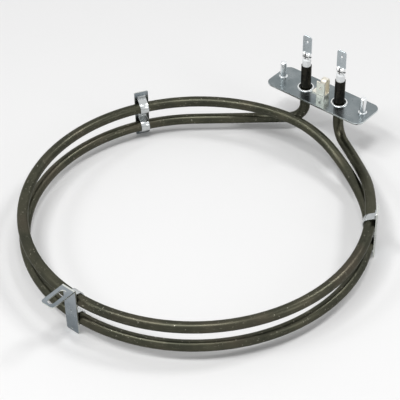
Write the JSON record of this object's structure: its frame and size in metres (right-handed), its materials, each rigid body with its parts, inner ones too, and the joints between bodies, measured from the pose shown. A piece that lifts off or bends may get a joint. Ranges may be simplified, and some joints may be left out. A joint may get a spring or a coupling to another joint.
{
  "type": "tubular heating element",
  "caption": "Round tubular heating element for a fan oven, with a flanged terminal plate, push-on tabs and strap clips.",
  "frame": {"origin": "axis of the coil at the level of the clip feet", "axes": "+Z along the coil axis towards the terminals, +Y from the coil axis towards the terminal plate"},
  "size_m": [0.2064, 0.2537, 0.07],
  "materials": {
    "oxidised_sheath": "heat darkened, satin",
    "pressed_magnesia": "matt",
    "pin_steel": "drawn",
    "seal_ceramic": "matt white",
    "spade_steel": "bright",
    "plate_steel": "bright plated",
    "stud_steel": "bright plated",
    "earth_steel": "bright plated",
    "strap_steel": "bright plated",
    "band_steel": "bright plated"
  },
  "bodies": {
    "root": {"sheath_tube": "oxidised_sheath", "mounting_plate": "plate_steel", "earth_tab": "earth_steel", "terminal_pin_left": "pin_steel", "magnesia_sleeve_left": "pressed_magnesia", "end_seal_left": "seal_ceramic", "spade_tab_left": "spade_steel", "stud_left": "stud_steel", "terminal_pin_right": "pin_steel", "magnesia_sleeve_right": "pressed_magnesia", "end_seal_right": "seal_ceramic", "spade_tab_right": "spade_steel", "stud_right": "stud_steel", "clip_strap_front": "strap_steel", "retaining_band_front": "band_steel", "clip_strap_left": "strap_steel", "retaining_band_left": "band_steel", "clip_strap_right": "strap_steel", "retaining_band_right": "band_steel"}
  },
  "joints": []
}
